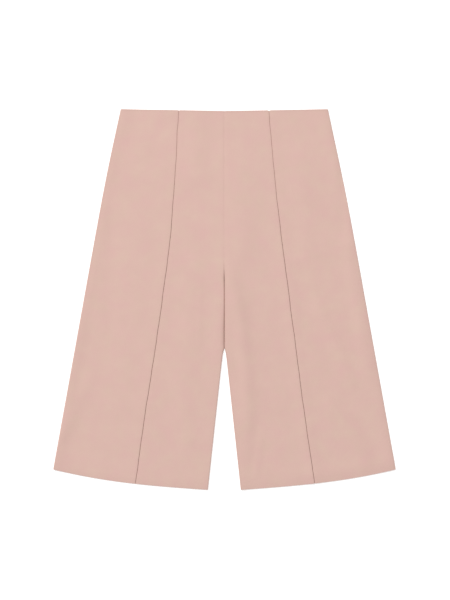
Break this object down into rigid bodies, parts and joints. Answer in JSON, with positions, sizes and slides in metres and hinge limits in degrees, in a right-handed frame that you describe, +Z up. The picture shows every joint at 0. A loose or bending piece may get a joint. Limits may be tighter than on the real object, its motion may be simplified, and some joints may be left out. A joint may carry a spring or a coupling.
{
  "type": "high-waisted shorts",
  "caption": "High-waisted, wide-legged, knee-length shorts in plain dusty-pink crepe, with a long panel seam down each front leg, laid flat.",
  "frame": {"origin": "on the surface that the garment lies on, below the middle of its outline", "axes": "+Y from the hem to the waist, +X to the viewer's right, +Z up out of the front of the garment"},
  "size_m": [0.583, 0.6471, 0.0051],
  "materials": {
    "rose_crepe": "matte, fine crepe weave",
    "zip_tape": "matte woven tape"
  },
  "bodies": {
    "root": {"front_centre_left": "rose_crepe", "front_centre_right": "rose_crepe", "front_side_left": "rose_crepe", "front_side_right": "rose_crepe", "back_left": "rose_crepe", "back_right": "rose_crepe", "back_zip": "zip_tape"}
  },
  "joints": []
}
